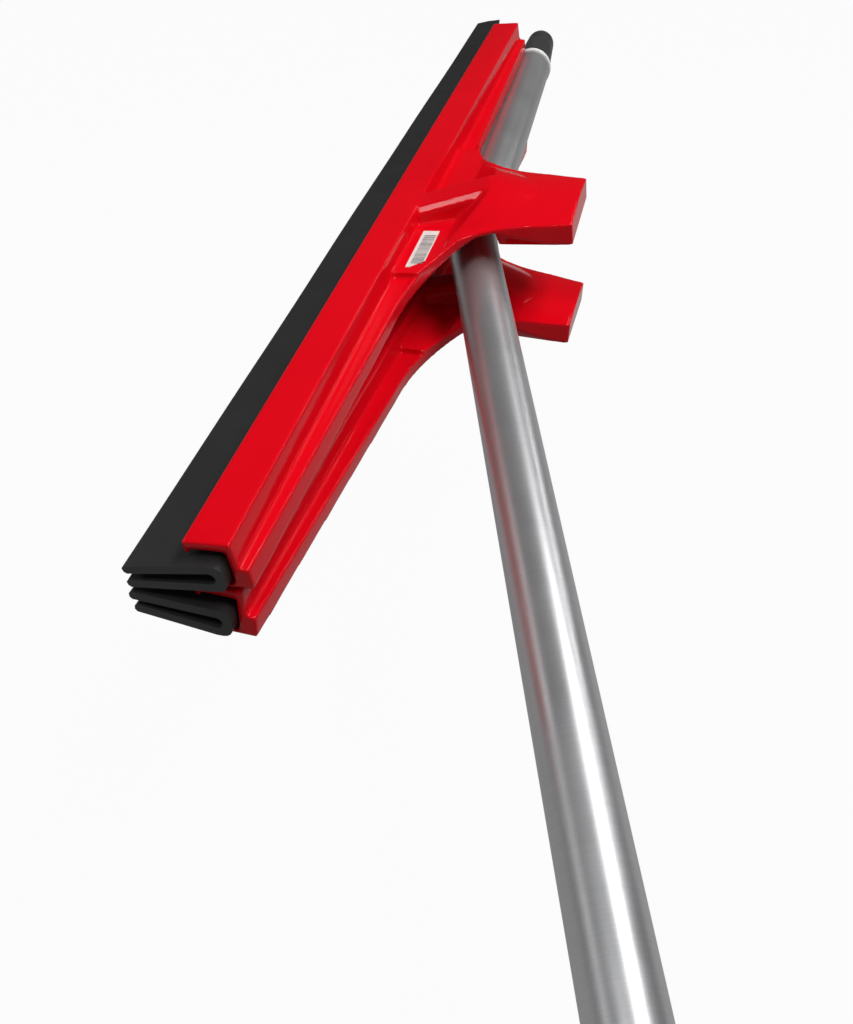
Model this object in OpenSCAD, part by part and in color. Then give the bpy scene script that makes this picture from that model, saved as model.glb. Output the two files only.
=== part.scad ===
// Floor squeegee set: two moulded heads with folded rubber blades and one bent tube handle

/* [Head] */
// length of the moulded holder along the blade
head_len = 500; // [400:10:700]
// depth of the top flange, front edge to back edge
flange_w = 16.6; // [16:0.1:18]
// thickness of the top flange
flange_t = 3.5; // [3:0.1:4]
// width of the lip under the front edge of the flange
lip_t = 1.6; // [1.2:0.1:2]
// drop of the front lip below the flange top
lip_h = 5.1; // [4.4:0.1:5.3]
// drop of the back ledge below the flange top
ledge_drop = 10.6; // [10:0.1:12]
// width of the back ledge at the two ends
ledge_w = 3.4; // [3:0.1:5]
// slope of the back wall, outward from flange to ledge
wall_slope = 0.7; // [0.4:0.1:1]
// thickness of the lip that holds the rubber from below
foot_t = 1.3; // [1:0.1:2]
// reach of that lip under the rubber
foot_reach = 3.6; // [1.5:0.1:4.5]
// inset of the rib that grips the rubber, from each end
rib_inset = 25; // [10:1:60]
// thickness of the grip rib
rib_t = 2.2; // [1.5:0.1:2.4]

/* [Neck] */
// distance from mid length where the back rim starts to flare
flare_x = 100; // [85:1:120]
// back rim reach where the flare starts
rim_mid = 24.9; // [24:0.1:27]
// steepness of the flare
flare_pow = 2.6; // [2:0.1:3.2]
// reach of the tongue root
root_y = 50; // [48:0.5:54]
// width of the tongue root
root_w = 64; // [60:1:70]
// width of the soft turn from the rim to the tongue
root_soft = 11; // [6:0.5:14]
// drop of the tongue root edge below the flange top
root_drop = 4.3; // [3.5:0.1:5]
// reach of the tongue end
tongue_end = 91.5; // [84:0.5:110]
// width of the tongue end
tongue_w = 49; // [44:1:54]
// drop of the tongue end edge below the flange top
tongue_drop = 5.6; // [5:0.1:7]
// thickness of the tongue side
tongue_t = 9.9; // [9.6:0.1:10.2]
// radius of the tongue crown across its width
crown_r = 130; // [110:5:180]
// reach where the slope up to the crown starts
crown_y = 34; // [32:0.5:36]
// length of that slope
crown_run = 17; // [14:0.5:20]
// radius of the hip between the arm and the tongue
hip_r = 60; // [50:1:80]
// height of the hip above the flange top
hip_top = 4.6; // [3:0.1:5]
// length over which the hip falls to the tongue
hip_fall = 26; // [20:0.5:32]
// width of the raised arm at its top
arm_w = 18; // [15:0.5:20]
// broken edges of the arm
arm_edge = 3; // [1:0.1:4]
// extra width of the arm at its foot
arm_flare = 5; // [2:0.5:8]
// sideways shift of the arm at the flange
arm_skew = 11; // [0:0.5:12]
// height of the arm end above the flange top
arm_top = 4.5; // [4:0.1:5.2]
// reach of the arm end
arm_y = 49; // [46:0.5:54]
// length of the slope behind the arm end
arm_fall = 14; // [12:0.5:20]
// width of the bead along the flared rim
bead_w = 3; // [2:0.1:4]
// height of that bead near the tongue root
bead_h = 1.6; // [0.8:0.1:2]
// rise of the underside beside the flat pad, under the panels
arch_rise = 4; // [2:0.1:4.4]
// rise of the underside at the tongue root
arch_top = 9; // [7:0.1:9.2]
// half width of the rib left under the neck, between the two arches
gate_x = 8; // [5:0.5:12]
// end of the arches' wide part, towards the pad
gate_y = 57; // [54:0.5:60]
// width of that rise
arch_run = 6.5; // [5:0.5:9]
// start of the flat panel beside the arm, from mid length
panel_x = 14; // [10:1:18]
// length of the flat panel
panel_len = 52; // [48:1:54]
// drop of the panel below the flange top
panel_drop = 8; // [7.6:0.1:9]
// wall left over the hollows under the neck
skin_t = 2.5; // [2:0.1:3]

/* [Rubber] */
// height of the folded rubber
rubber_h = 11.4; // [11:0.1:11.8]
// thickness of each lip
rubber_t = 3.4; // [2.8:0.1:3.8]
// reach of the fold centre behind the flange front edge
fold_y = 8.3; // [8:0.1:8.6]
// drop of the fold centre below the flange top
fold_drop = 12.1; // [11.9:0.1:12.3]
// length of the top lip
top_lip = 31; // [26:0.5:36]
// length of the bottom lip
bottom_lip = 32; // [26:0.5:36]
// overhang of the rubber at the near end
over_near = 4; // [2:0.5:12]
// squareness of the fold's outside, 2 being round
fold_square = 3; // [2:0.1:3.4]
// start of the far end's notch, behind the flange's front edge
notch_y = -3.5; // [-5:0.1:2]
// overhang of the lips at the far end, where the fold is cut back
over_far = 38; // [12:0.5:44]
// overhang of the fold at the far end
over_fold = 3; // [2:0.5:10]
// droop of the upper blade's top lip in degrees
upper_top_droop = 7; // [4:0.5:8]
// droop of the upper blade's bottom lip in degrees
upper_bottom_droop = 5.3; // [4:0.1:6]
// rise of the lower blade's top lip in degrees
lower_top_rise = 1; // [0:0.5:1.5]
// rise of the lower blade's bottom lip in degrees
lower_bottom_rise = 5; // [2:0.5:6]
// clearance between rubber and holder
fit = 0.35; // [0.3:0.05:0.5]

/* [Handle] */
// outside diameter of the tube
tube_d = 24; // [22:0.5:24.5]
// wall thickness of the tube
tube_t = 1.4; // [1:0.1:2]
// length of the tube before the bend
near_len = 900; // [600:10:1300]
// length of the tube behind the bend
far_len = 250; // [240:1:320]
// angle of the bend in degrees
bend = 16.7; // [15.5:0.1:18]
// centre-line radius of the bend
bend_r = 90; // [70:5:120]
// thickening of the tube wall in the bend, each way
knee = 0.15; // [0.1:0.05:0.3]
// outside diameter of the ring
ring_d = 25.2; // [24.8:0.1:26]
// thickness of the ring
ring_t = 4.2; // [2:0.1:5]
// length of the cap, dome included
cap_len = 57; // [40:1:64]
// diameter of the cap at its dome
cap_d = 18.8; // [17:0.1:21]
// length of the cap's plug inside the tube
plug_len = 28; // [15:1:40]
// clearance between plug and tube
plug_fit = 0.05; // [0.02:0.01:0.1]

/* [Label] */
// length of the sticker
label_len = 34; // [26:0.5:35]
// width of the sticker
label_w = 7.8; // [7:0.1:9.2]
// cut corner of the sticker
label_cut = 6; // [1:0.1:6.5]
// thickness of the sticker
label_t = 0.2; // [0.1:0.05:0.3]

/* [Stack] */
// reach of the pad centre on the lower tongue
pad_y = 75; // [70:0.5:80]
// shift of the upper head along the blade
upper_x = 2.76; // [2:0.01:3.5]
// shift of the upper head across the blade
upper_y = -4.9; // [-5.4:0.02:-4.6]
// lift of the upper head over the lower one
upper_z = 41.79; // [41.7:0.01:43.5]
// tilt of the upper head, tongue up, in degrees
upper_tilt = 7.16; // [7:0.02:7.4]
// tilt of the upper head, near end down, in degrees
upper_dip = 5.17; // [4.9:0.01:5.19]
// turn of the upper head in degrees
upper_turn = 0.82; // [0.5:0.01:1.2]
// bend point of the handle along the blade
bend_x = -3.96; // [-6:0.01:-3]
// bend point of the handle across the blade
bend_y = 34.48; // [34:0.02:35]
// height of the bend point over the lower flange
bend_z = 19.01; // [18.9:0.01:19.15]
// turn of the near part of the handle in degrees
near_yaw = 19.76; // [19:0.01:20.4]
// dip of the near part of the handle in degrees
near_dip = 8.7; // [8.5:0.01:8.8]
// roll of the bend about the near part in degrees
bend_roll = -15.54; // [-17:0.01:-14]

/* [Hidden] */
$fn = 96;
red = [0.85, 0.02, 0.06];
black = [0.07, 0.07, 0.075];
half = head_len / 2;
fold_ro = rubber_h / 2;
fold_ri = fold_ro - rubber_t;
seat_y = fold_y + fold_ro + fit;
foot_z = -fold_drop - fold_ro - fit;
skirt_z = foot_z - foot_t;
rib_z = -fold_drop + fold_ro + fit;
ledge_y = flange_w + wall_slope;
rim_end = ledge_y + ledge_w;
tongue_z = -tongue_drop - tongue_t;
tube_r = tube_d / 2;
tube_ri = tube_r - tube_t;
bend_run = bend_r * tan(bend / 2);
lap = 3;
plug_r = tube_ri - plug_fit;
dome_r = cap_d / 2;
flare_steps = 10;
turn_steps = 6;
fold_steps = 18;
label_x = panel_x + panel_len / 2 + 4;
label_y = ledge_y + 12.3 - label_w / 2;

// back rim reach at a distance from mid length
function flare(a) = rim_mid + (root_y - rim_mid)
  * pow((flare_x - a) / (flare_x - root_w / 2), flare_pow);

// a point between two others
function between(p, q, t) = p + (q - p) * t;

// the soft turn from the flared rim into the side of the tongue
function turn_point(t) = let (a = root_w / 2 + root_soft, p = [root_w / 2, root_y],
  q = between(p, [tongue_w / 2, tongue_end], 0.45))
  between(between([a, flare(a)], p, t), between(p, q, t), t);

// points of one flared side, from the straight rim to the tongue
function flare_side(s) = concat(
  [for (i = [0:flare_steps])
    let (a = flare_x + (root_w / 2 + root_soft - flare_x) * i / flare_steps) [s * a, flare(a)]],
  [for (i = [1:turn_steps]) [s * turn_point(i / turn_steps)[0], turn_point(i / turn_steps)[1]]]);

// the flared sides run outward on the near half and inward on the far half
function reversed(v) = [for (i = [len(v) - 1:-1:0]) v[i]];

module neck_plan() {
  polygon(concat([[-half, seat_y], [-half, rim_end]], flare_side(-1),
    [[-tongue_w / 2, tongue_end], [tongue_w / 2, tongue_end]],
    reversed(flare_side(1)), [[half, rim_end], [half, seat_y]]));
}

// a side view outline carried along the blade between two stations
module along(x0, x1) {
  translate([x0, 0, 0]) rotate([90, 0, 90]) linear_extrude(x1 - x0) children();
}

module channel() {
  along(-half, half) polygon([[0, 0], [flange_w, 0], [ledge_y, -ledge_drop],
    [ledge_y, skirt_z], [seat_y - foot_reach, skirt_z], [seat_y - foot_reach, foot_z],
    [seat_y, foot_z], [seat_y, -flange_t], [lip_t, -flange_t], [lip_t, -lip_h], [0, -lip_h]]);
  along(-half + rib_inset, half - rib_inset) polygon([[fold_y - rib_t / 2, -flange_t + 1],
    [fold_y + rib_t / 2, -flange_t + 1], [fold_y + rib_t / 2, rib_z], [fold_y - rib_t / 2, rib_z]]);
}

module rim_and_tongue() {
  intersection() {
    translate([0, 0, -60]) linear_extrude(120) neck_plan();
    along(-half, half) polygon([[seat_y, -ledge_drop], [rim_mid, -ledge_drop], [root_y, -root_drop],
      [tongue_end, -tongue_drop], [tongue_end, tongue_z], [rim_mid + 5, tongue_z],
      [rim_end, skirt_z], [seat_y, skirt_z]]);
  }
}

// a rounded back, its ridge falling from one reach and height to another
module back(r, y0, z0, y1, z1) {
  tilt = atan((z0 - z1) / (y1 - y0));
  intersection() {
    translate([0, 0, -60]) linear_extrude(120) neck_plan();
    translate([0, y1, z1]) rotate([90 - tilt, 0, 0])
      translate([0, -r, -60]) cylinder(h = 160, r = r, $fn = 240);
    along(-half, half) polygon([[crown_y, -panel_drop - 0.5], [crown_y + crown_run, hip_top],
      [tongue_end, hip_top], [tongue_end, -ledge_drop], [crown_y, -ledge_drop]]);
  }
}

module crown() {
  end_sag = crown_r - sqrt(pow(crown_r, 2) - pow(tongue_w / 2, 2));
  root_sag = crown_r - sqrt(pow(crown_r, 2) - pow(root_w / 2, 2));
  back(crown_r, root_y, root_sag - root_drop, tongue_end, end_sag - tongue_drop);
  back(hip_r, root_y, hip_top, root_y + hip_fall, -tongue_drop + end_sag);
}

// a bar with broken edges along the arm's ridge, turned and tilted to run to the flange
module arm() {
  foot = -ledge_drop - 1;
  run = arm_y - flange_w + 2;
  turn = atan(arm_skew / run);
  pitch = atan((arm_top + 0.3) / run);
  intersection() {
    along(-half, half) polygon([[flange_w - 2, arm_top], [arm_y - 4, arm_top + 3], [arm_y, arm_top],
      [arm_y + arm_fall, -root_drop], [arm_y + arm_fall, foot], [flange_w - 2, foot]]);
    translate([0, arm_y, arm_top]) rotate([pitch, 0, turn]) translate([0, tongue_end / 2, 0])
      rotate([90, 0, 0]) linear_extrude(tongue_end + 10) polygon([
        [-arm_w / 2 + arm_edge, 0], [arm_w / 2 - arm_edge, 0], [arm_w / 2, -arm_edge],
        [(arm_w + arm_flare) / 2, -20], [-(arm_w + arm_flare) / 2, -20], [-arm_w / 2, -arm_edge]]);
  }
}

// a low bead along the flared rim, highest just before the tongue root
module bead() {
  peak = root_y - 8;
  rim_z = -ledge_drop + (ledge_drop - root_drop) * (peak - rim_mid) / (root_y - rim_mid);
  intersection() {
    translate([0, 0, -60]) linear_extrude(120) difference() {
      neck_plan();
      translate([-bead_w * 0.6, -bead_w * 0.8]) neck_plan();
    }
    along(tongue_w / 2 - bead_w, half) polygon([[rim_mid, -ledge_drop], [peak, rim_z + bead_h],
      [root_y + 6, -root_drop - 0.4], [root_y + 6, -ledge_drop], [rim_mid, -ledge_drop - 1]]);
  }
}

module panel() {
  intersection() {
    translate([0, 0, -60]) linear_extrude(120) neck_plan();
    translate([panel_x, seat_y, -ledge_drop - 1])
      cube([panel_len, root_y - seat_y, ledge_drop + 1 - panel_drop]);
  }
}

// the underside rises beside the flat pad, so that the rim is thin over the handle
module arch() {
  edge = tongue_w / 2 + 0.8;
  top = tongue_z + arch_top;
  intersection() {
    union() {
      translate([0, tongue_end + 1, 0]) rotate([90, 0, 0]) linear_extrude(tongue_end) polygon([
        [edge, tongue_z], [edge + arch_run, top], [half, top], [half, skirt_z - 5],
        [edge, skirt_z - 5]]);
      translate([gate_x, 0, skirt_z - 5])
        cube([edge + arch_run - gate_x, gate_y, top - skirt_z + 5]);
    }
    along(0, half) polygon([[rim_end, skirt_z], [rim_mid + 13, tongue_z + arch_rise],
      [root_y - 2, top - 0.6], [root_y + 6, top], [tongue_end + 1, top],
      [tongue_end + 1, skirt_z - 5], [rim_end, skirt_z - 5]]);
  }
}

module hollow(x0, x1) {
  translate([x0, seat_y + 3, skirt_z - 5])
    cube([x1 - x0, flare(x1) - seat_y - 6, -ledge_drop - skin_t - skirt_z + 5]);
}

module holder() {
  difference() {
    union() {
      channel();
      rim_and_tongue();
      crown();
      arm();
      panel();
      mirror([1, 0, 0]) panel();
      bead();
      mirror([1, 0, 0]) bead();
    }
    for (s = [0, 1]) mirror([s, 0, 0]) {
      arch();
      hollow(2, tongue_w / 2 - 3);
      hollow(root_w / 2, root_w / 2 + 28);
    }
  }
}

// unit vectors of a lip that leaves the fold with a droop
function lip_way(a) = [-cos(a), -sin(a)];
function turn_at(a) = [cos(a), sin(a)];

// a turn that swells to a squarer fold between the axes
function square_turn(a) = turn_at(a)
  / pow(pow(abs(cos(a)), fold_square) + pow(abs(sin(a)), fold_square), 1 / fold_square);

module blade(top, bottom) {
  c = [fold_y, -fold_drop];
  a1 = 90 + top;
  a0 = -90 + bottom;
  span = a1 - a0;
  outer = [for (i = [0:fold_steps]) c + fold_ro * square_turn(a1 - span * i / fold_steps)];
  inner = [for (i = [0:fold_steps]) c + fold_ri * turn_at(a0 + span * i / fold_steps)];
  difference() {
    along(-half - over_far, half + over_near) polygon(concat(
      [c + fold_ro * turn_at(a1) + top_lip * lip_way(top)], outer,
      [c + fold_ro * turn_at(a0) + bottom_lip * lip_way(bottom)],
      [c + fold_ri * turn_at(a0) + bottom_lip * lip_way(bottom)], inner,
      [c + fold_ri * turn_at(a1) + top_lip * lip_way(top)]));
    translate([0, 0, -60]) linear_extrude(120) polygon([[-half - over_fold, fold_y + fold_ro + 2],
      [-half - over_fold, notch_y + 2.5], [-half - over_far, notch_y],
      [-half - over_far - 60, notch_y], [-half - over_far - 60, fold_y + fold_ro + 2]]);
  }
}

// the origin is the middle of the flat underside of the lower tongue
module at_lower() {
  translate([0, -pad_y, -tongue_z]) children();
}

module at_upper() {
  at_lower() translate([upper_x, upper_y, upper_z])
    rotate([upper_tilt, upper_dip, upper_turn]) children();
}

module at_handle() {
  at_lower() translate([bend_x, bend_y, bend_z])
    rotate([bend_roll, near_dip, near_yaw]) children();
}

// from the bend point along the far part, the tube's axis on +Z
module on_far(run) {
  rotate([0, 0, 180 - bend]) rotate([0, 90, 0]) translate([0, 0, run]) children();
}

module tube_shape(r, knee_r, more) {
  translate([bend_run - lap, 0, 0]) rotate([0, 90, 0])
    cylinder(h = near_len - bend_run + lap + more, r = r);
  translate([bend_run, bend_r, 0]) rotate([0, 0, -90 - bend])
    rotate_extrude(angle = bend) translate([bend_r, 0]) circle(r = knee_r);
  on_far(bend_run - lap) cylinder(h = far_len - bend_run + lap + more, r = r);
}

module lower_holder() {
  color(red) at_lower() holder();
}

module lower_blade() {
  color(black) at_lower() blade(-lower_top_rise, -lower_bottom_rise);
}

module upper_holder() {
  color(red) at_upper() holder();
}

module upper_blade() {
  color(black) at_upper() blade(upper_top_droop, upper_bottom_droop);
}

module label_sticker() {
  color([0.9, 0.88, 0.86]) at_upper() translate([label_x, label_y, -panel_drop])
    linear_extrude(label_t) polygon([[-label_len / 2, -label_w / 2], [label_len / 2, -label_w / 2],
      [label_len / 2, label_w / 2 - label_cut], [label_len / 2 - label_cut, label_w / 2],
      [-label_len / 2, label_w / 2]]);
}

module handle_tube() {
  color([0.52, 0.53, 0.54]) at_handle() difference() {
    tube_shape(tube_r, tube_r + knee, 0);
    tube_shape(tube_ri, tube_ri - knee, 1);
  }
}

module handle_ring() {
  color([0.95, 0.95, 0.94]) at_handle() on_far(far_len) difference() {
    cylinder(h = ring_t, d = ring_d);
    translate([0, 0, -1]) cylinder(h = ring_t + 2, r = plug_r + plug_fit);
  }
}

module handle_cap() {
  color(black) at_handle() on_far(far_len) {
    translate([0, 0, -plug_len]) cylinder(h = plug_len + ring_t + 1, r = plug_r);
    translate([0, 0, ring_t]) cylinder(h = cap_len - dome_r, r1 = tube_r - 0.3, r2 = dome_r);
    translate([0, 0, ring_t + cap_len - dome_r]) sphere(r = dome_r);
  }
}

lower_holder();
lower_blade();
upper_holder();
upper_blade();
label_sticker();
handle_tube();
handle_ring();
handle_cap();
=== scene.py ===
"""Looks of a floor squeegee set: two moulded heads, their rubber blades and a bent tube handle.

Every length is in metres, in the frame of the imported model. Each piece rides on its CAD body.
"""

import math

import bmesh
import bpy
from bpy.props import FloatProperty, FloatVectorProperty, IntProperty, PointerProperty
from mathutils import Euler, Matrix, Vector


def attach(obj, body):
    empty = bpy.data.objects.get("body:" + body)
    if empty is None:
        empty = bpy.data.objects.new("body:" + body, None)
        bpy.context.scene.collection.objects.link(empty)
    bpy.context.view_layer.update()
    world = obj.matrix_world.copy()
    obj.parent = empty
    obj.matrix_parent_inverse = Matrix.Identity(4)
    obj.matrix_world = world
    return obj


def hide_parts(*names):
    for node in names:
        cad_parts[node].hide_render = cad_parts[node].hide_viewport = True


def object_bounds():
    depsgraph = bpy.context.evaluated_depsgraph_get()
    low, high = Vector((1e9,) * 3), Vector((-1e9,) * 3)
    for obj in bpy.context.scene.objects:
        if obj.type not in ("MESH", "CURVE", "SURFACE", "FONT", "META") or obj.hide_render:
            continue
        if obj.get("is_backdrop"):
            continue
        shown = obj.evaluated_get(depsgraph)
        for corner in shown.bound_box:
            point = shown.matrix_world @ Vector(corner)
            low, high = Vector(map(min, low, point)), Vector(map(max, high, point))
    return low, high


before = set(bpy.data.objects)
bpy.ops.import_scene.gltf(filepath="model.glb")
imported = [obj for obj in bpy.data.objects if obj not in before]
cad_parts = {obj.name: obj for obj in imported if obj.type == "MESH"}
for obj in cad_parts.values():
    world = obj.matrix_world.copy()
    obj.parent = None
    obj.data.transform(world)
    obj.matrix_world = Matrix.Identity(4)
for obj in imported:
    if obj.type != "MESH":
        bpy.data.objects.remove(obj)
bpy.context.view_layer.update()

bl_info = {
    "name": "Floor squeegee set",
    "version": (1, 0, 0),
    "blender": (4, 5, 0),
    "location": "View3D > Sidebar > Squeegee",
    "description": "Dresses the packed squeegee heads, blades, handle and sticker",
    "category": "Object",
}

MM = 0.001


def turned(*degrees):
    """A turn about x, y and z, from degrees."""
    return Euler([math.radians(a) for a in degrees])


# the lower head's own origin, the flange's front edge at mid length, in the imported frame
LOWER = Matrix.Translation(Vector((0, -75, 15.5)) * MM)

# the upper head over the lower one, as it is stacked
UPPER_SHIFT = Vector((2.76, -4.9, 41.79)) * MM
UPPER_TURN = turned(7.16, 5.17, 0.82)
UPPER = LOWER @ Matrix.Translation(UPPER_SHIFT) @ UPPER_TURN.to_matrix().to_4x4()

# the direction of the handle's long part
BEND_TURN = turned(-15.54, 8.7, 19.76)

# the moulded skin: points nearer than this are one, and how far each smoothing round goes
WELD = 1e-5
SOFTEN = 0.5

# the rubber: steps round the fold, places along a lip as shares of it, cuts along the strip, and the
# angle from which an edge looks sharp
FOLD_STEPS = 14
LIP_PLACES = (0.2, 0.29, 0.38, 0.7)
STRIP_CUTS = 72
SHARP_EDGE = math.radians(32)

# the far end's notch: the width over which the end slants from the lips to the fold
NOTCH_SLANT = 2.5 * MM

# the upper lips' droop in degrees, the top lip's extra droop and its loss of length at the far end
UPPER_TOP_DROOP = 7
UPPER_BOTTOM_DROOP = 4
UPPER_TWIST = 2
UPPER_TAPER = 2.5 * MM

# the lower lips' droop in degrees, and how much shorter the bottom lip is there
LOWER_TOP_DROOP = -1
LOWER_BOTTOM_DROOP = -6
LOWER_CUT = 2.5 * MM

# the waves along a strip: height in degrees, radians along the whole strip, and start in radians; then
# the share of them in the upper blade's bottom lip
UPPER_WAVES = ((0.5, 9, 0), (0.3, 23, 1))
LOWER_WAVES = ((0.3, 8, 0),)
BOTTOM_WAVE = 0.4

# the printed bars: the middle of the first one on the upper head, their widths and their seed
BARS_PLACE = Vector((31.5, 26.2, -7.76)) * MM
BAR_THIN = 0.3
BAR_WIDE = 0.85
BAR_SEED = 4

# the sky: its strength behind the heads and before them, and where along x it changes
SKY_BEHIND = 0.4
SKY_BEFORE = 1.3
SKY_FROM = -0.9
SKY_TO = 0.3

# the floor: its own tone, its share of white to the camera and in reflections, its reach from the middle
# and its gap under the part
FLOOR_TONE = 0.2
FLOOR_WHITE = 0.965
FLOOR_MIRROR = 0.26
FLOOR_REACH = 6.0
FLOOR_GAP = 0.5 * MM

# the camera's sensor in millimetres, and its nearest visible distance
SENSOR = 36
NEAR_CLIP = 0.01


class SqueegeeSizes(bpy.types.PropertyGroup):
    """Sizes of the dressed pieces"""

    skin_step: FloatProperty(
        name="Skin step", description="Cell of the moulded skin laid over a holder",
        default=0.75 * MM, unit="LENGTH", precision=5)
    skin_rounds: IntProperty(
        name="Skin rounds", description="Smoothing rounds that soften the moulded edges", default=4)
    skin_keep: FloatProperty(
        name="Skin keep", description="Share of the skin's faces that is kept",
        default=0.62, subtype="FACTOR")
    blade_half: FloatProperty(
        name="Half length", description="Half the length of a holder", default=250 * MM, unit="LENGTH")
    over_near: FloatProperty(
        name="Near overhang", description="Rubber past the near end of the holder",
        default=4 * MM, unit="LENGTH")
    over_far: FloatProperty(
        name="Far overhang", description="Lips past the far end of the holder, the fold being cut back",
        default=38 * MM, unit="LENGTH")
    over_fold: FloatProperty(
        name="Fold overhang", description="Fold past the far end of the holder",
        default=3 * MM, unit="LENGTH")
    notch: FloatProperty(
        name="Notch", description="Start of the far end's notch, behind the flange's front edge",
        default=-3.5 * MM, unit="LENGTH")
    fold_reach: FloatProperty(
        name="Fold reach", description="Reach of the fold's centre behind the flange's front edge",
        default=8.3 * MM, unit="LENGTH")
    fold_drop: FloatProperty(
        name="Fold drop", description="Drop of the fold's centre below the flange",
        default=12.1 * MM, unit="LENGTH")
    fold_square: FloatProperty(
        name="Fold squareness", description="Squareness of the fold's outside, 2 being round", default=3)
    fold_outside: FloatProperty(
        name="Fold radius", description="Outside radius of the fold", default=5.7 * MM, unit="LENGTH")
    lip_thickness: FloatProperty(
        name="Lip thickness", description="Thickness of each rubber lip", default=3.4 * MM, unit="LENGTH")
    top_lip: FloatProperty(
        name="Top lip", description="Length of the top lip", default=31 * MM, unit="LENGTH")
    bottom_lip: FloatProperty(
        name="Bottom lip", description="Length of the bottom lip", default=32 * MM, unit="LENGTH")
    lip_edge: FloatProperty(
        name="Lip edge", description="Width of the bevel along the working edge", default=0.9 * MM,
        unit="LENGTH")
    label_length: FloatProperty(
        name="Label length", description="Length of the printed bars' field", default=26 * MM,
        unit="LENGTH")
    label_height: FloatProperty(
        name="Label height", description="Height of the printed bars", default=5.6 * MM, unit="LENGTH")
    label_bars: IntProperty(
        name="Label bars", description="Number of plain printed bars on the sticker", default=26)


class SqueegeeColours(bpy.types.PropertyGroup):
    """Colours of the finishes, linear"""

    red: FloatVectorProperty(
        name="Holder red", description="Colour of the moulded holders", subtype="COLOR",
        default=(0.76, 0.002, 0.010))
    deep_red: FloatVectorProperty(
        name="Deep red", description="Darker flow marks in the moulded red", subtype="COLOR",
        default=(0.70, 0.0015, 0.008))
    rubber: FloatVectorProperty(
        name="Rubber", description="Colour of the blades", subtype="COLOR", default=(0.025, 0.025, 0.0255))
    rubber_dust: FloatVectorProperty(
        name="Rubber bloom", description="Pale bloom on the rubber", subtype="COLOR",
        default=(0.029, 0.029, 0.029))
    metal: FloatVectorProperty(
        name="Tube metal", description="Colour of the aluminium tube", subtype="COLOR",
        default=(0.57, 0.575, 0.585))
    metal_dark: FloatVectorProperty(
        name="Tube streaks", description="Darker brush streaks on the tube", subtype="COLOR",
        default=(0.52, 0.525, 0.535))
    ring: FloatVectorProperty(
        name="Ring", description="Colour of the ring under the cap", subtype="COLOR",
        default=(0.92, 0.92, 0.91))
    cap: FloatVectorProperty(
        name="Cap", description="Colour of the end cap", subtype="COLOR", default=(0.036, 0.036, 0.038))
    paper: FloatVectorProperty(
        name="Sticker", description="Colour of the sticker's paper", subtype="COLOR",
        default=(0.82, 0.79, 0.76))
    ink: FloatVectorProperty(
        name="Sticker bars", description="Colour of the printed bars", subtype="COLOR",
        default=(0.16, 0.155, 0.15))


class SqueegeeStage(bpy.types.PropertyGroup):
    """Camera and light"""

    camera_place: FloatVectorProperty(
        name="Camera place", description="Place of the camera", subtype="TRANSLATION",
        default=(0.46562, 0.05606, 0.24147))
    camera_aim: FloatVectorProperty(
        name="Camera aim", description="Direction that the camera looks", subtype="DIRECTION",
        default=(-0.75787, -0.18633, -0.62523))
    camera_up: FloatVectorProperty(
        name="Camera up", description="Direction of the picture's upright", subtype="DIRECTION",
        default=(-0.59934, -0.17977, 0.78005))
    lens: FloatProperty(
        name="Lens", description="Focal length over a 36 mm long side, in millimetres", default=35.163)
    sky: FloatProperty(name="Sky", description="Strength of the even light", default=0.1)


def settings():
    """The sizes and colours that are set in the scene."""
    return bpy.context.scene.squeegee_sizes, bpy.context.scene.squeegee_colours


def link(name, mesh):
    """A new object at the origin, its place in its mesh."""
    made = bpy.data.objects.new(name, mesh)
    bpy.context.scene.collection.objects.link(made)
    return made


def paint(piece, finish):
    """One finish over the whole piece."""
    piece.data.materials.clear()
    piece.data.materials.append(finish)


def baked(piece):
    """The piece's mesh with its modifiers applied, the modifiers taken off."""
    shown = piece.evaluated_get(bpy.context.evaluated_depsgraph_get())
    mesh = bpy.data.meshes.new_from_object(shown)
    piece.modifiers.clear()
    piece.data = mesh
    return mesh


def new_finish(name):
    """A new material with its nodes and links."""
    finish = bpy.data.materials.new(name)
    finish.use_nodes = True
    return finish, finish.node_tree.nodes, finish.node_tree.links


def shader_of(nodes, **values):
    """The material's own shader, with the inputs that are named set."""
    shader = nodes["Principled BSDF"]
    set_inputs(shader, values)
    return shader


def set_inputs(node, values):
    """Set a node's inputs by their names, written with underscores for spaces."""
    for label, value in values.items():
        node.inputs[label.replace("_", " ")].default_value = value


def add_node(nodes, kind, **values):
    """A new node with the inputs that are named set."""
    node = nodes.new(kind)
    set_inputs(node, values)
    return node


def two_tones(nodes, dark, dark_place, light, light_place):
    """A colour ramp from a dark tone to a light one."""
    tone = nodes.new("ShaderNodeValToRGB")
    first, last = tone.color_ramp.elements
    first.position = dark_place
    first.color = (*dark, 1)
    last.position = light_place
    last.color = (*light, 1)
    return tone


def toned(colour, factor):
    """A colour made lighter or darker."""
    return [c * factor for c in colour]


def shade_smooth(mesh):
    """Smooth shading over the whole mesh."""
    mesh.polygons.foreach_set("use_smooth", [True] * len(mesh.polygons))


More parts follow.
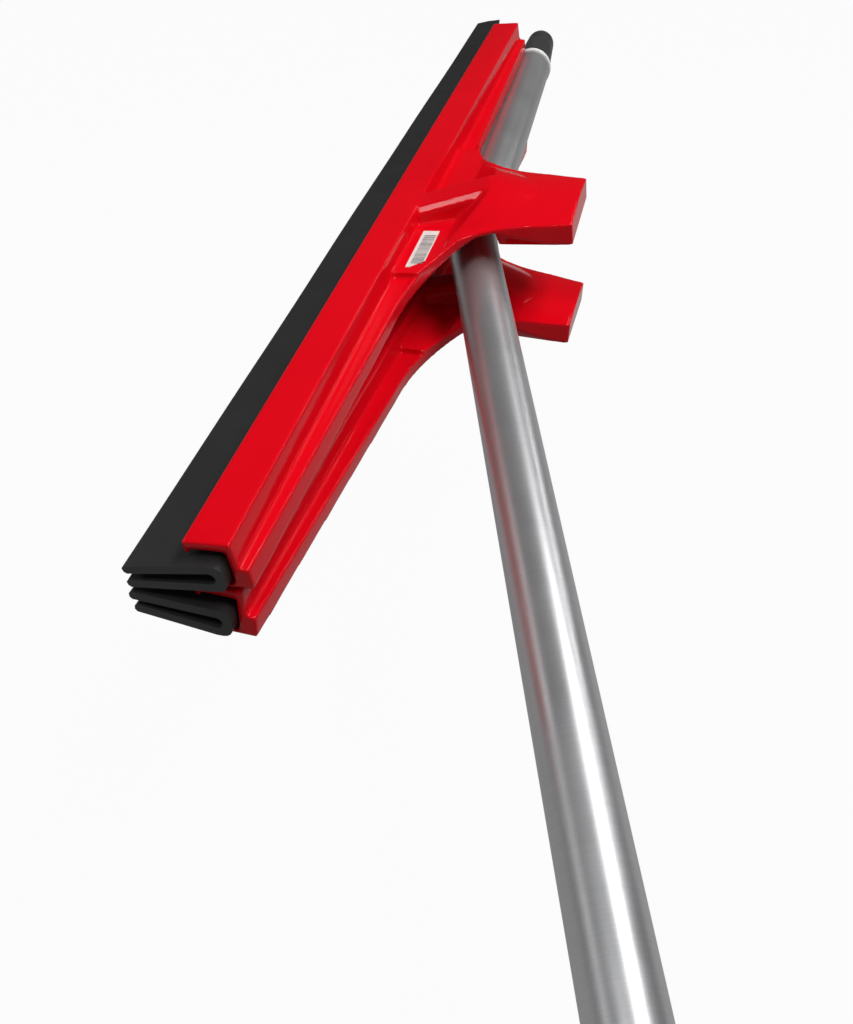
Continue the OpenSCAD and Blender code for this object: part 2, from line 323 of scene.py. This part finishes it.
def grain_group():
    """Shared surface effect: cloudy gloss, a fine grain and a soft mask, on object coordinates."""
    if "surface_grain" in bpy.data.node_groups:
        return bpy.data.node_groups["surface_grain"]
    group = bpy.data.node_groups.new("surface_grain", "ShaderNodeTree")
    face = group.interface
    for label, default in (("Cloud Scale", 40.0), ("Grain Scale", 900.0),
                           ("Smooth", 0.2), ("Rough", 0.35)):
        socket = face.new_socket(name=label, in_out="INPUT", socket_type="NodeSocketFloat")
        socket.default_value = default
    for label in ("Roughness", "Height", "Mask"):
        face.new_socket(name=label, in_out="OUTPUT", socket_type="NodeSocketFloat")
    nodes, links = group.nodes, group.links
    entry = nodes.new("NodeGroupInput")
    leave = nodes.new("NodeGroupOutput")
    place = nodes.new("ShaderNodeTexCoord")
    cloud = add_node(nodes, "ShaderNodeTexNoise", Detail=4.0)
    grain = add_node(nodes, "ShaderNodeTexNoise", Detail=2.0)
    spread = add_node(nodes, "ShaderNodeMapRange", From_Min=0.3, From_Max=0.7)
    for texture, scale in ((cloud, "Cloud Scale"), (grain, "Grain Scale")):
        links.new(place.outputs["Object"], texture.inputs["Vector"])
        links.new(entry.outputs[scale], texture.inputs["Scale"])
    links.new(cloud.outputs["Fac"], spread.inputs["Value"])
    links.new(entry.outputs["Smooth"], spread.inputs["To Min"])
    links.new(entry.outputs["Rough"], spread.inputs["To Max"])
    links.new(spread.outputs["Result"], leave.inputs["Roughness"])
    links.new(grain.outputs["Fac"], leave.inputs["Height"])
    links.new(cloud.outputs["Fac"], leave.inputs["Mask"])
    return group


def moulded(name, colour, shade, cloud, grain, smooth, rough, bump, depth, specular=0.5):
    """A moulded finish: two close tones, cloudy gloss and a fine grain in relief."""
    finish, nodes, links = new_finish(name)
    shader = shader_of(nodes, Specular_IOR_Level=specular)
    effect = nodes.new("ShaderNodeGroup")
    effect.node_tree = grain_group()
    set_inputs(effect, {"Cloud Scale": cloud, "Grain Scale": grain, "Smooth": smooth, "Rough": rough})
    tone = two_tones(nodes, dark=shade, dark_place=0.35, light=colour, light_place=0.62)
    relief = add_node(nodes, "ShaderNodeBump", Strength=bump, Distance=depth)
    links.new(effect.outputs["Mask"], tone.inputs["Fac"])
    links.new(tone.outputs["Color"], shader.inputs["Base Color"])
    links.new(effect.outputs["Roughness"], shader.inputs["Roughness"])
    links.new(effect.outputs["Height"], relief.inputs["Height"])
    links.new(relief.outputs["Normal"], shader.inputs["Normal"])
    return finish


def brushed_tube(colour, streak):
    """Satin aluminium with fine brush lines round the tube."""
    finish, nodes, links = new_finish("brushed_tube")
    shader = shader_of(nodes, Metallic=0.8)
    place = nodes.new("ShaderNodeTexCoord")
    turn = add_node(nodes, "ShaderNodeMapping")
    turn.vector_type = "TEXTURE"
    set_inputs(turn, {"Rotation": BEND_TURN})
    stretch = add_node(nodes, "ShaderNodeMapping", Scale=(2200, 40, 40))
    lines = add_node(nodes, "ShaderNodeTexNoise", Scale=1.0, Detail=3.0)
    clouds = add_node(nodes, "ShaderNodeTexNoise", Scale=30.0, Detail=5.0)
    tone = two_tones(nodes, dark=streak, dark_place=0.3, light=colour, light_place=0.68)
    gloss = add_node(nodes, "ShaderNodeMapRange", From_Min=0.3, From_Max=0.7, To_Min=0.33, To_Max=0.41)
    relief = add_node(nodes, "ShaderNodeBump", Strength=0.06, Distance=0.0001)
    links.new(place.outputs["Object"], turn.inputs["Vector"])
    links.new(turn.outputs["Vector"], stretch.inputs["Vector"])
    links.new(stretch.outputs["Vector"], lines.inputs["Vector"])
    links.new(place.outputs["Object"], clouds.inputs["Vector"])
    links.new(lines.outputs["Fac"], tone.inputs["Fac"])
    links.new(tone.outputs["Color"], shader.inputs["Base Color"])
    links.new(clouds.outputs["Fac"], gloss.inputs["Value"])
    links.new(gloss.outputs["Result"], shader.inputs["Roughness"])
    links.new(lines.outputs["Fac"], relief.inputs["Height"])
    links.new(relief.outputs["Normal"], shader.inputs["Normal"])
    return finish


class SQUEEGEE_OT_holders(bpy.types.Operator):
    """Lay a softly rounded moulded skin over the two holders"""

    bl_idname = "squeegee.holders"
    bl_label = "Holders"

    def execute(self, context):
        sizes, colours = settings()
        skin = link("lower_holder_skin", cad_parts["lower_holder"].data.copy())
        merged = bmesh.new()
        merged.from_mesh(skin.data)
        bmesh.ops.remove_doubles(merged, verts=merged.verts, dist=WELD)
        bmesh.ops.recalc_face_normals(merged, faces=merged.faces)
        merged.to_mesh(skin.data)
        merged.free()
        cells = skin.modifiers.new("cells", "REMESH")
        cells.mode = "VOXEL"
        cells.voxel_size = sizes.skin_step
        cells.use_smooth_shade = True
        soften = skin.modifiers.new("soften", "SMOOTH")
        soften.factor = SOFTEN
        soften.iterations = sizes.skin_rounds
        thin = skin.modifiers.new("thin", "DECIMATE")
        thin.ratio = sizes.skin_keep
        mesh = baked(skin)
        mesh.name = "lower_holder_skin"
        shade_smooth(mesh)
        upper_mesh = mesh.copy()
        upper_mesh.transform(UPPER @ LOWER.inverted())
        upper = link("upper_holder_skin", upper_mesh)
        red = moulded("moulded_red", colours.red, colours.deep_red, cloud=14, grain=1500,
                      smooth=0.07, rough=0.12, bump=0.03, depth=0.0002, specular=0.15)
        for piece, body, node in ((skin, "lower_head", "lower_holder"),
                                  (upper, "upper_head", "upper_holder")):
            paint(piece, red)
            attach(piece, body)
            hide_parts(node)
        return {"FINISHED"}


def lip_profile(sizes, top, bottom, top_lip, bottom_lip):
    """Outline of the folded rubber in the head's side view, from the top lip's edge round the fold."""
    middle = Vector((sizes.fold_reach, -sizes.fold_drop))
    outside = sizes.fold_outside
    inside = outside - sizes.lip_thickness
    bevel = sizes.lip_edge

    def on(radius, angle):
        return middle + radius * Vector((math.cos(angle), math.sin(angle)))

    def squared(angle):
        """The outside of the fold, swelling between the axes."""
        power = sizes.fold_square
        swell = (abs(math.cos(angle)) ** power + abs(math.sin(angle)) ** power) ** (-1 / power)
        return on(outside * swell, angle)

    def lip(radius, tip, angle, length, lean):
        """One side of a lip, from the fold to its bevelled working edge."""
        way = Vector((-math.cos(lean), -math.sin(lean)))
        foot = on(radius, angle)
        side = [foot + length * place * way for place in LIP_PLACES]
        return [*side, foot + (length - bevel) * way, on(tip, angle) + length * way]

    start, stop = math.pi / 2 + top, -math.pi / 2 + bottom
    sweep = [start + (stop - start) * i / FOLD_STEPS for i in range(FOLD_STEPS + 1)]
    outline = lip(outside, outside - bevel, start, top_lip, top)[::-1]
    outline += [squared(a) for a in sweep]
    outline += lip(outside, outside - bevel, stop, bottom_lip, bottom)
    outline += lip(inside, inside + bevel, stop, bottom_lip, bottom)[::-1]
    outline += [on(inside, a) for a in reversed(sweep)]
    outline += lip(inside, inside + bevel, start, top_lip, top)
    return outline


def folded_blade(sizes, name, place, shape_at):
    """One folded strip of rubber, its lips following shape_at along the length, its far end slanted."""
    slant = (sizes.over_far - sizes.over_fold) / NOTCH_SLANT
    start = sizes.blade_half + sizes.over_near

    def spot(share, p):
        """A point of the outline at a share of the length, which depends on its place across."""
        past = sizes.over_far - slant * max(0, p.x - sizes.notch)
        past = max(past, sizes.over_fold)
        return start - share * (start + sizes.blade_half + past), p.x, p.y

    made = bmesh.new()
    rings = []
    for i in range(STRIP_CUTS + 1):
        share = i / STRIP_CUTS
        outline = lip_profile(sizes, *shape_at(share))
        rings.append([made.verts.new(spot(share, p)) for p in outline])
    count = len(rings[0])
    for near, far in zip(rings, rings[1:]):
        for k in range(count):
            after = (k + 1) % count
            made.faces.new((near[k], near[after], far[after], far[k]))
    half = count // 2
    for ring in (rings[0], rings[-1]):
        for k in range(half):
            a, b = ring[k], ring[(k + 1) % count]
            c, d = ring[(-k - 2) % count], ring[(-k - 1) % count]
            corners = list(dict.fromkeys((a, b, c, d)))
            if len(corners) > 2 and not made.faces.get(corners):
                made.faces.new(corners)
    bmesh.ops.recalc_face_normals(made, faces=made.faces)
    mesh = bpy.data.meshes.new(name)
    made.to_mesh(mesh)
    made.free()
    mesh.transform(place)
    shade_smooth(mesh)
    mesh.set_sharp_from_angle(angle=SHARP_EDGE)
    return link(name, mesh)


def wave_at(share, waves):
    """The height of the summed waves at a share of the length, in degrees."""
    return sum(high * math.sin(run * share + start) for high, run, start in waves)


class SQUEEGEE_OT_blades(bpy.types.Operator):
    """Fold a rubber strip into each holder"""

    bl_idname = "squeegee.blades"
    bl_label = "Blades"

    def execute(self, context):
        sizes, colours = settings()
        rubber = moulded("blade_rubber", colours.rubber, colours.rubber_dust, cloud=55, grain=2600,
                         smooth=0.36, rough=0.46, bump=0.15, depth=0.0001, specular=0.3)

        def upper_shape(share):
            wave = wave_at(share, UPPER_WAVES)
            return (math.radians(UPPER_TOP_DROOP + wave + UPPER_TWIST * share),
                    math.radians(UPPER_BOTTOM_DROOP + BOTTOM_WAVE * wave),
                    sizes.top_lip - UPPER_TAPER * share, sizes.bottom_lip)

        def lower_shape(share):
            wave = wave_at(share, LOWER_WAVES)
            return (math.radians(LOWER_TOP_DROOP + wave), math.radians(LOWER_BOTTOM_DROOP + wave),
                    sizes.top_lip, sizes.bottom_lip - LOWER_CUT)

        for name, place, shape, body, node in (
                ("upper_blade_fold", UPPER, upper_shape, "upper_rubber", "upper_blade"),
                ("lower_blade_fold", LOWER, lower_shape, "lower_rubber", "lower_blade")):
            blade = folded_blade(sizes, name, place, shape)
            paint(blade, rubber)
            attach(blade, body)
            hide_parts(node)
        return {"FINISHED"}


class SQUEEGEE_OT_handle(bpy.types.Operator):
    """Finish the tube, its ring and its cap"""

    bl_idname = "squeegee.handle"
    bl_label = "Handle"

    def execute(self, context):
        colours = settings()[1]
        paint(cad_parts["handle_tube"], brushed_tube(colours.metal, colours.metal_dark))
        ring = moulded("ring_plastic", colours.ring, toned(colours.ring, 0.92), cloud=90, grain=1200,
                       smooth=0.3, rough=0.4, bump=0.05, depth=0.0001)
        paint(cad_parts["handle_ring"], ring)
        cap = moulded("cap_plastic", colours.cap, toned(colours.cap, 1.7), cloud=70, grain=1800,
                      smooth=0.3, rough=0.45, bump=0.12, depth=0.0001)
        paint(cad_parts["handle_cap"], cap)
        return {"FINISHED"}


def bar_tree(finish):
    """Geometry Nodes tree: plain printed bars of uneven width, side by side."""
    tree = bpy.data.node_groups.new("printed_bars", "GeometryNodeTree")
    face = tree.interface
    face.new_socket(name="Geometry", in_out="OUTPUT", socket_type="NodeSocketGeometry")
    inputs = {}
    for label, kind in (("Length", "NodeSocketFloat"), ("Height", "NodeSocketFloat"),
                        ("Bars", "NodeSocketInt"), ("Seed", "NodeSocketInt")):
        inputs[label] = face.new_socket(name=label, in_out="INPUT", socket_type=kind).identifier
    nodes, links = tree.nodes, tree.links
    entry = nodes.new("NodeGroupInput")
    leave = nodes.new("NodeGroupOutput")
    row = nodes.new("GeometryNodeMeshLine")
    row.mode = "END_POINTS"
    reach = nodes.new("ShaderNodeCombineXYZ")
    bar = add_node(nodes, "GeometryNodeMeshGrid", Vertices_X=2, Vertices_Y=2)
    pitch = nodes.new("ShaderNodeMath")
    pitch.operation = "DIVIDE"
    widths = nodes.new("FunctionNodeRandomValue")
    widths.inputs[2].default_value = BAR_THIN
    widths.inputs[3].default_value = BAR_WIDE
    size = add_node(nodes, "ShaderNodeCombineXYZ", Y=1.0, Z=1.0)
    spread = nodes.new("GeometryNodeInstanceOnPoints")
    real = nodes.new("GeometryNodeRealizeInstances")
    ink = add_node(nodes, "GeometryNodeSetMaterial", Material=finish)
    links.new(entry.outputs["Length"], reach.inputs["X"])
    links.new(reach.outputs["Vector"], row.inputs["Offset"])
    links.new(entry.outputs["Bars"], row.inputs["Count"])
    links.new(entry.outputs["Length"], pitch.inputs[0])
    links.new(entry.outputs["Bars"], pitch.inputs[1])
    links.new(pitch.outputs["Value"], bar.inputs["Size X"])
    links.new(entry.outputs["Height"], bar.inputs["Size Y"])
    links.new(entry.outputs["Seed"], widths.inputs["Seed"])
    links.new(widths.outputs[1], size.inputs["X"])
    links.new(row.outputs["Mesh"], spread.inputs["Points"])
    links.new(bar.outputs["Mesh"], spread.inputs["Instance"])
    links.new(size.outputs["Vector"], spread.inputs["Scale"])
    links.new(spread.outputs["Instances"], real.inputs["Geometry"])
    links.new(real.outputs["Geometry"], ink.inputs["Geometry"])
    links.new(ink.outputs["Geometry"], leave.inputs["Geometry"])
    return tree, inputs


class SQUEEGEE_OT_label(bpy.types.Operator):
    """Finish the sticker and print plain bars on it"""

    bl_idname = "squeegee.label"
    bl_label = "Sticker"

    def execute(self, context):
        sizes, colours = settings()
        paper = moulded("sticker_paper", colours.paper, toned(colours.paper, 0.93), cloud=160, grain=3000,
                        smooth=0.45, rough=0.6, bump=0.08, depth=0.00005)
        paint(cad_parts["label_sticker"], paper)
        ink = moulded("sticker_ink", colours.ink, toned(colours.ink, 1.6), cloud=300, grain=3000,
                      smooth=0.4, rough=0.6, bump=0.05, depth=0.00005)
        bars = link("label_bars", bpy.data.meshes.new("label_bars"))
        tree, inputs = bar_tree(ink)
        printed = bars.modifiers.new("printed_bars", "NODES")
        printed.node_group = tree
        printed[inputs["Length"]] = sizes.label_length
        printed[inputs["Height"]] = sizes.label_height
        printed[inputs["Bars"]] = sizes.label_bars
        printed[inputs["Seed"]] = BAR_SEED
        mesh = baked(bars)
        mesh.name = "label_bars"
        mesh.transform(UPPER @ Matrix.Translation(BARS_PLACE))
        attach(bars, "upper_head")
        return {"FINISHED"}


def lamp(name, place, turn, size, watts):
    """A soft rectangle of light at a place, shining against the third axis of its turn."""
    data = bpy.data.lights.new(name, "AREA")
    data.shape = "RECTANGLE"
    data.size, data.size_y = size
    data.energy = watts
    made = bpy.data.objects.new(name, data)
    made.matrix_world = Matrix.Translation(place) @ turn.to_matrix().to_4x4()
    bpy.context.scene.collection.objects.link(made)


def soft_lamp(name, place, size, watts):
    """A soft light turned to the heads, which lie at the origin."""
    turn = (-Vector(place)).to_track_quat("-Z", "Y")
    lamp(name, place, turn, size, watts)


def strip_lamp(name, place, run, size, watts):
    """A long light that runs in a direction, turned to the heads."""
    run = Vector(run).normalized()
    away = Vector(place) - Vector(place).dot(run) * run
    away.normalize()
    turn = Matrix((run, away.cross(run), away)).transposed().to_quaternion()
    lamp(name, place, turn, size, watts)


def even_sky(strength):
    """A dim even light, darker behind the heads, where their flat tops mirror it."""
    world = bpy.data.worlds.new("even_light")
    world.use_nodes = True
    nodes, links = world.node_tree.nodes, world.node_tree.links
    way = nodes.new("ShaderNodeTexCoord")
    part = nodes.new("ShaderNodeSeparateXYZ")
    level = add_node(nodes, "ShaderNodeMapRange", From_Min=SKY_FROM, From_Max=SKY_TO,
                     To_Min=strength * SKY_BEHIND, To_Max=strength * SKY_BEFORE)
    links.new(way.outputs["Generated"], part.inputs["Vector"])
    links.new(part.outputs["X"], level.inputs["Value"])
    links.new(level.outputs["Result"], nodes["Background"].inputs["Strength"])
    nodes["Background"].inputs["Color"].default_value = (1, 1, 1, 1)
    return world


def white_floor():
    """A floor that looks white to the camera and pale in reflections, with a faint shadow."""
    finish, nodes, links = new_finish("white_floor")
    shader = shader_of(nodes, Base_Color=(FLOOR_TONE, FLOOR_TONE, FLOOR_TONE, 1), Roughness=0.9)
    path = nodes.new("ShaderNodeLightPath")

    def worked(operation, first, second):
        """A Math node's result on a socket and a second socket or number."""
        node = nodes.new("ShaderNodeMath")
        node.operation = operation
        links.new(first, node.inputs[0])
        if isinstance(second, float):
            node.inputs[1].default_value = second
        else:
            links.new(second, node.inputs[1])
        return node.outputs["Value"]

    mirrored = worked("MAXIMUM", path.outputs["Is Glossy Ray"], path.outputs["Is Transmission Ray"])
    softer = worked("MULTIPLY", mirrored, FLOOR_MIRROR)
    direct = worked("MULTIPLY", path.outputs["Is Camera Ray"], FLOOR_WHITE)
    share = worked("MAXIMUM", softer, direct)
    glow = add_node(nodes, "ShaderNodeEmission", Color=(1, 1, 1, 1), Strength=1.0)
    mix = nodes.new("ShaderNodeMixShader")
    links.new(share, mix.inputs["Fac"])
    links.new(shader.outputs["BSDF"], mix.inputs[1])
    links.new(glow.outputs["Emission"], mix.inputs[2])
    links.new(mix.outputs["Shader"], nodes["Material Output"].inputs["Surface"])
    return finish


class SQUEEGEE_OT_stage(bpy.types.Operator):
    """Set the floor, the light and the camera"""

    bl_idname = "squeegee.stage"
    bl_label = "Stage"

    def execute(self, context):
        scene = context.scene
        look = scene.squeegee_stage
        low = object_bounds()[0].z - FLOOR_GAP
        ground = bpy.data.meshes.new("floor")
        corners = [(FLOOR_REACH * x, FLOOR_REACH * y, low) for x, y in ((-1, -1), (1, -1), (1, 1), (-1, 1))]
        ground.from_pydata(corners, [], [(0, 1, 2, 3)])
        floor = link("floor", ground)
        paint(floor, white_floor())
        floor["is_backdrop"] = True
        scene.world = even_sky(look.sky)
        handle_run = BEND_TURN.to_matrix().col[0]
        soft_lamp("key_light", place=(-0.06, 0.48, 1.16), size=(1.0, 0.4), watts=11.4)
        soft_lamp("front_light", place=(0.74, -0.24, 1.2), size=(0.3, 0.3), watts=4.2)
        strip_lamp("handle_light", place=(-0.345, 0.39, 0.94), run=handle_run, size=(1.7, 0.12), watts=1.5)
        strip_lamp("side_light", place=(0.36, -0.86, 0.47), run=handle_run, size=(1.4, 0.2), watts=1.1)
        strip_lamp("edge_light", place=(-0.565, 0.54, 0.485), run=(0.82, 0.42, 0.4),
                   size=(0.62, 0.06), watts=0.9)
        data = bpy.data.cameras.new("photo_camera")
        data.lens = look.lens
        data.sensor_width = SENSOR
        data.clip_start = NEAR_CLIP
        camera = bpy.data.objects.new("photo_camera", data)
        aim, up = Vector(look.camera_aim), Vector(look.camera_up)
        side = aim.cross(up).normalized()
        turn = Matrix((side, side.cross(aim), -aim)).transposed()
        camera.matrix_world = Matrix.Translation(look.camera_place) @ turn.to_4x4()
        scene.collection.objects.link(camera)
        scene.camera = camera
        scene.view_settings.view_transform = "Standard"
        return {"FINISHED"}


class SQUEEGEE_PT_pieces(bpy.types.Panel):
    """Pieces of the squeegee set"""

    bl_label = "Squeegee set"
    bl_idname = "SQUEEGEE_PT_pieces"
    bl_space_type = "VIEW_3D"
    bl_region_type = "UI"
    bl_category = "Squeegee"

    def draw(self, context):
        column = self.layout.column()
        for step in STEPS:
            column.operator(step.bl_idname)


STEPS = (SQUEEGEE_OT_holders, SQUEEGEE_OT_blades, SQUEEGEE_OT_handle, SQUEEGEE_OT_label,
         SQUEEGEE_OT_stage)
GROUPS = (SqueegeeSizes, SqueegeeColours, SqueegeeStage)
CLASSES = (*GROUPS, *STEPS, SQUEEGEE_PT_pieces)


def register():
    for made in CLASSES:
        bpy.utils.register_class(made)
    bpy.types.Scene.squeegee_sizes = PointerProperty(type=SqueegeeSizes)
    bpy.types.Scene.squeegee_colours = PointerProperty(type=SqueegeeColours)
    bpy.types.Scene.squeegee_stage = PointerProperty(type=SqueegeeStage)


def unregister():
    del bpy.types.Scene.squeegee_stage
    del bpy.types.Scene.squeegee_colours
    del bpy.types.Scene.squeegee_sizes
    for made in reversed(CLASSES):
        bpy.utils.unregister_class(made)


def main():
    register()
    bpy.ops.squeegee.holders()
    bpy.ops.squeegee.blades()
    bpy.ops.squeegee.handle()
    bpy.ops.squeegee.label()
    bpy.ops.squeegee.stage()


if __name__ == "__main__":
    main()
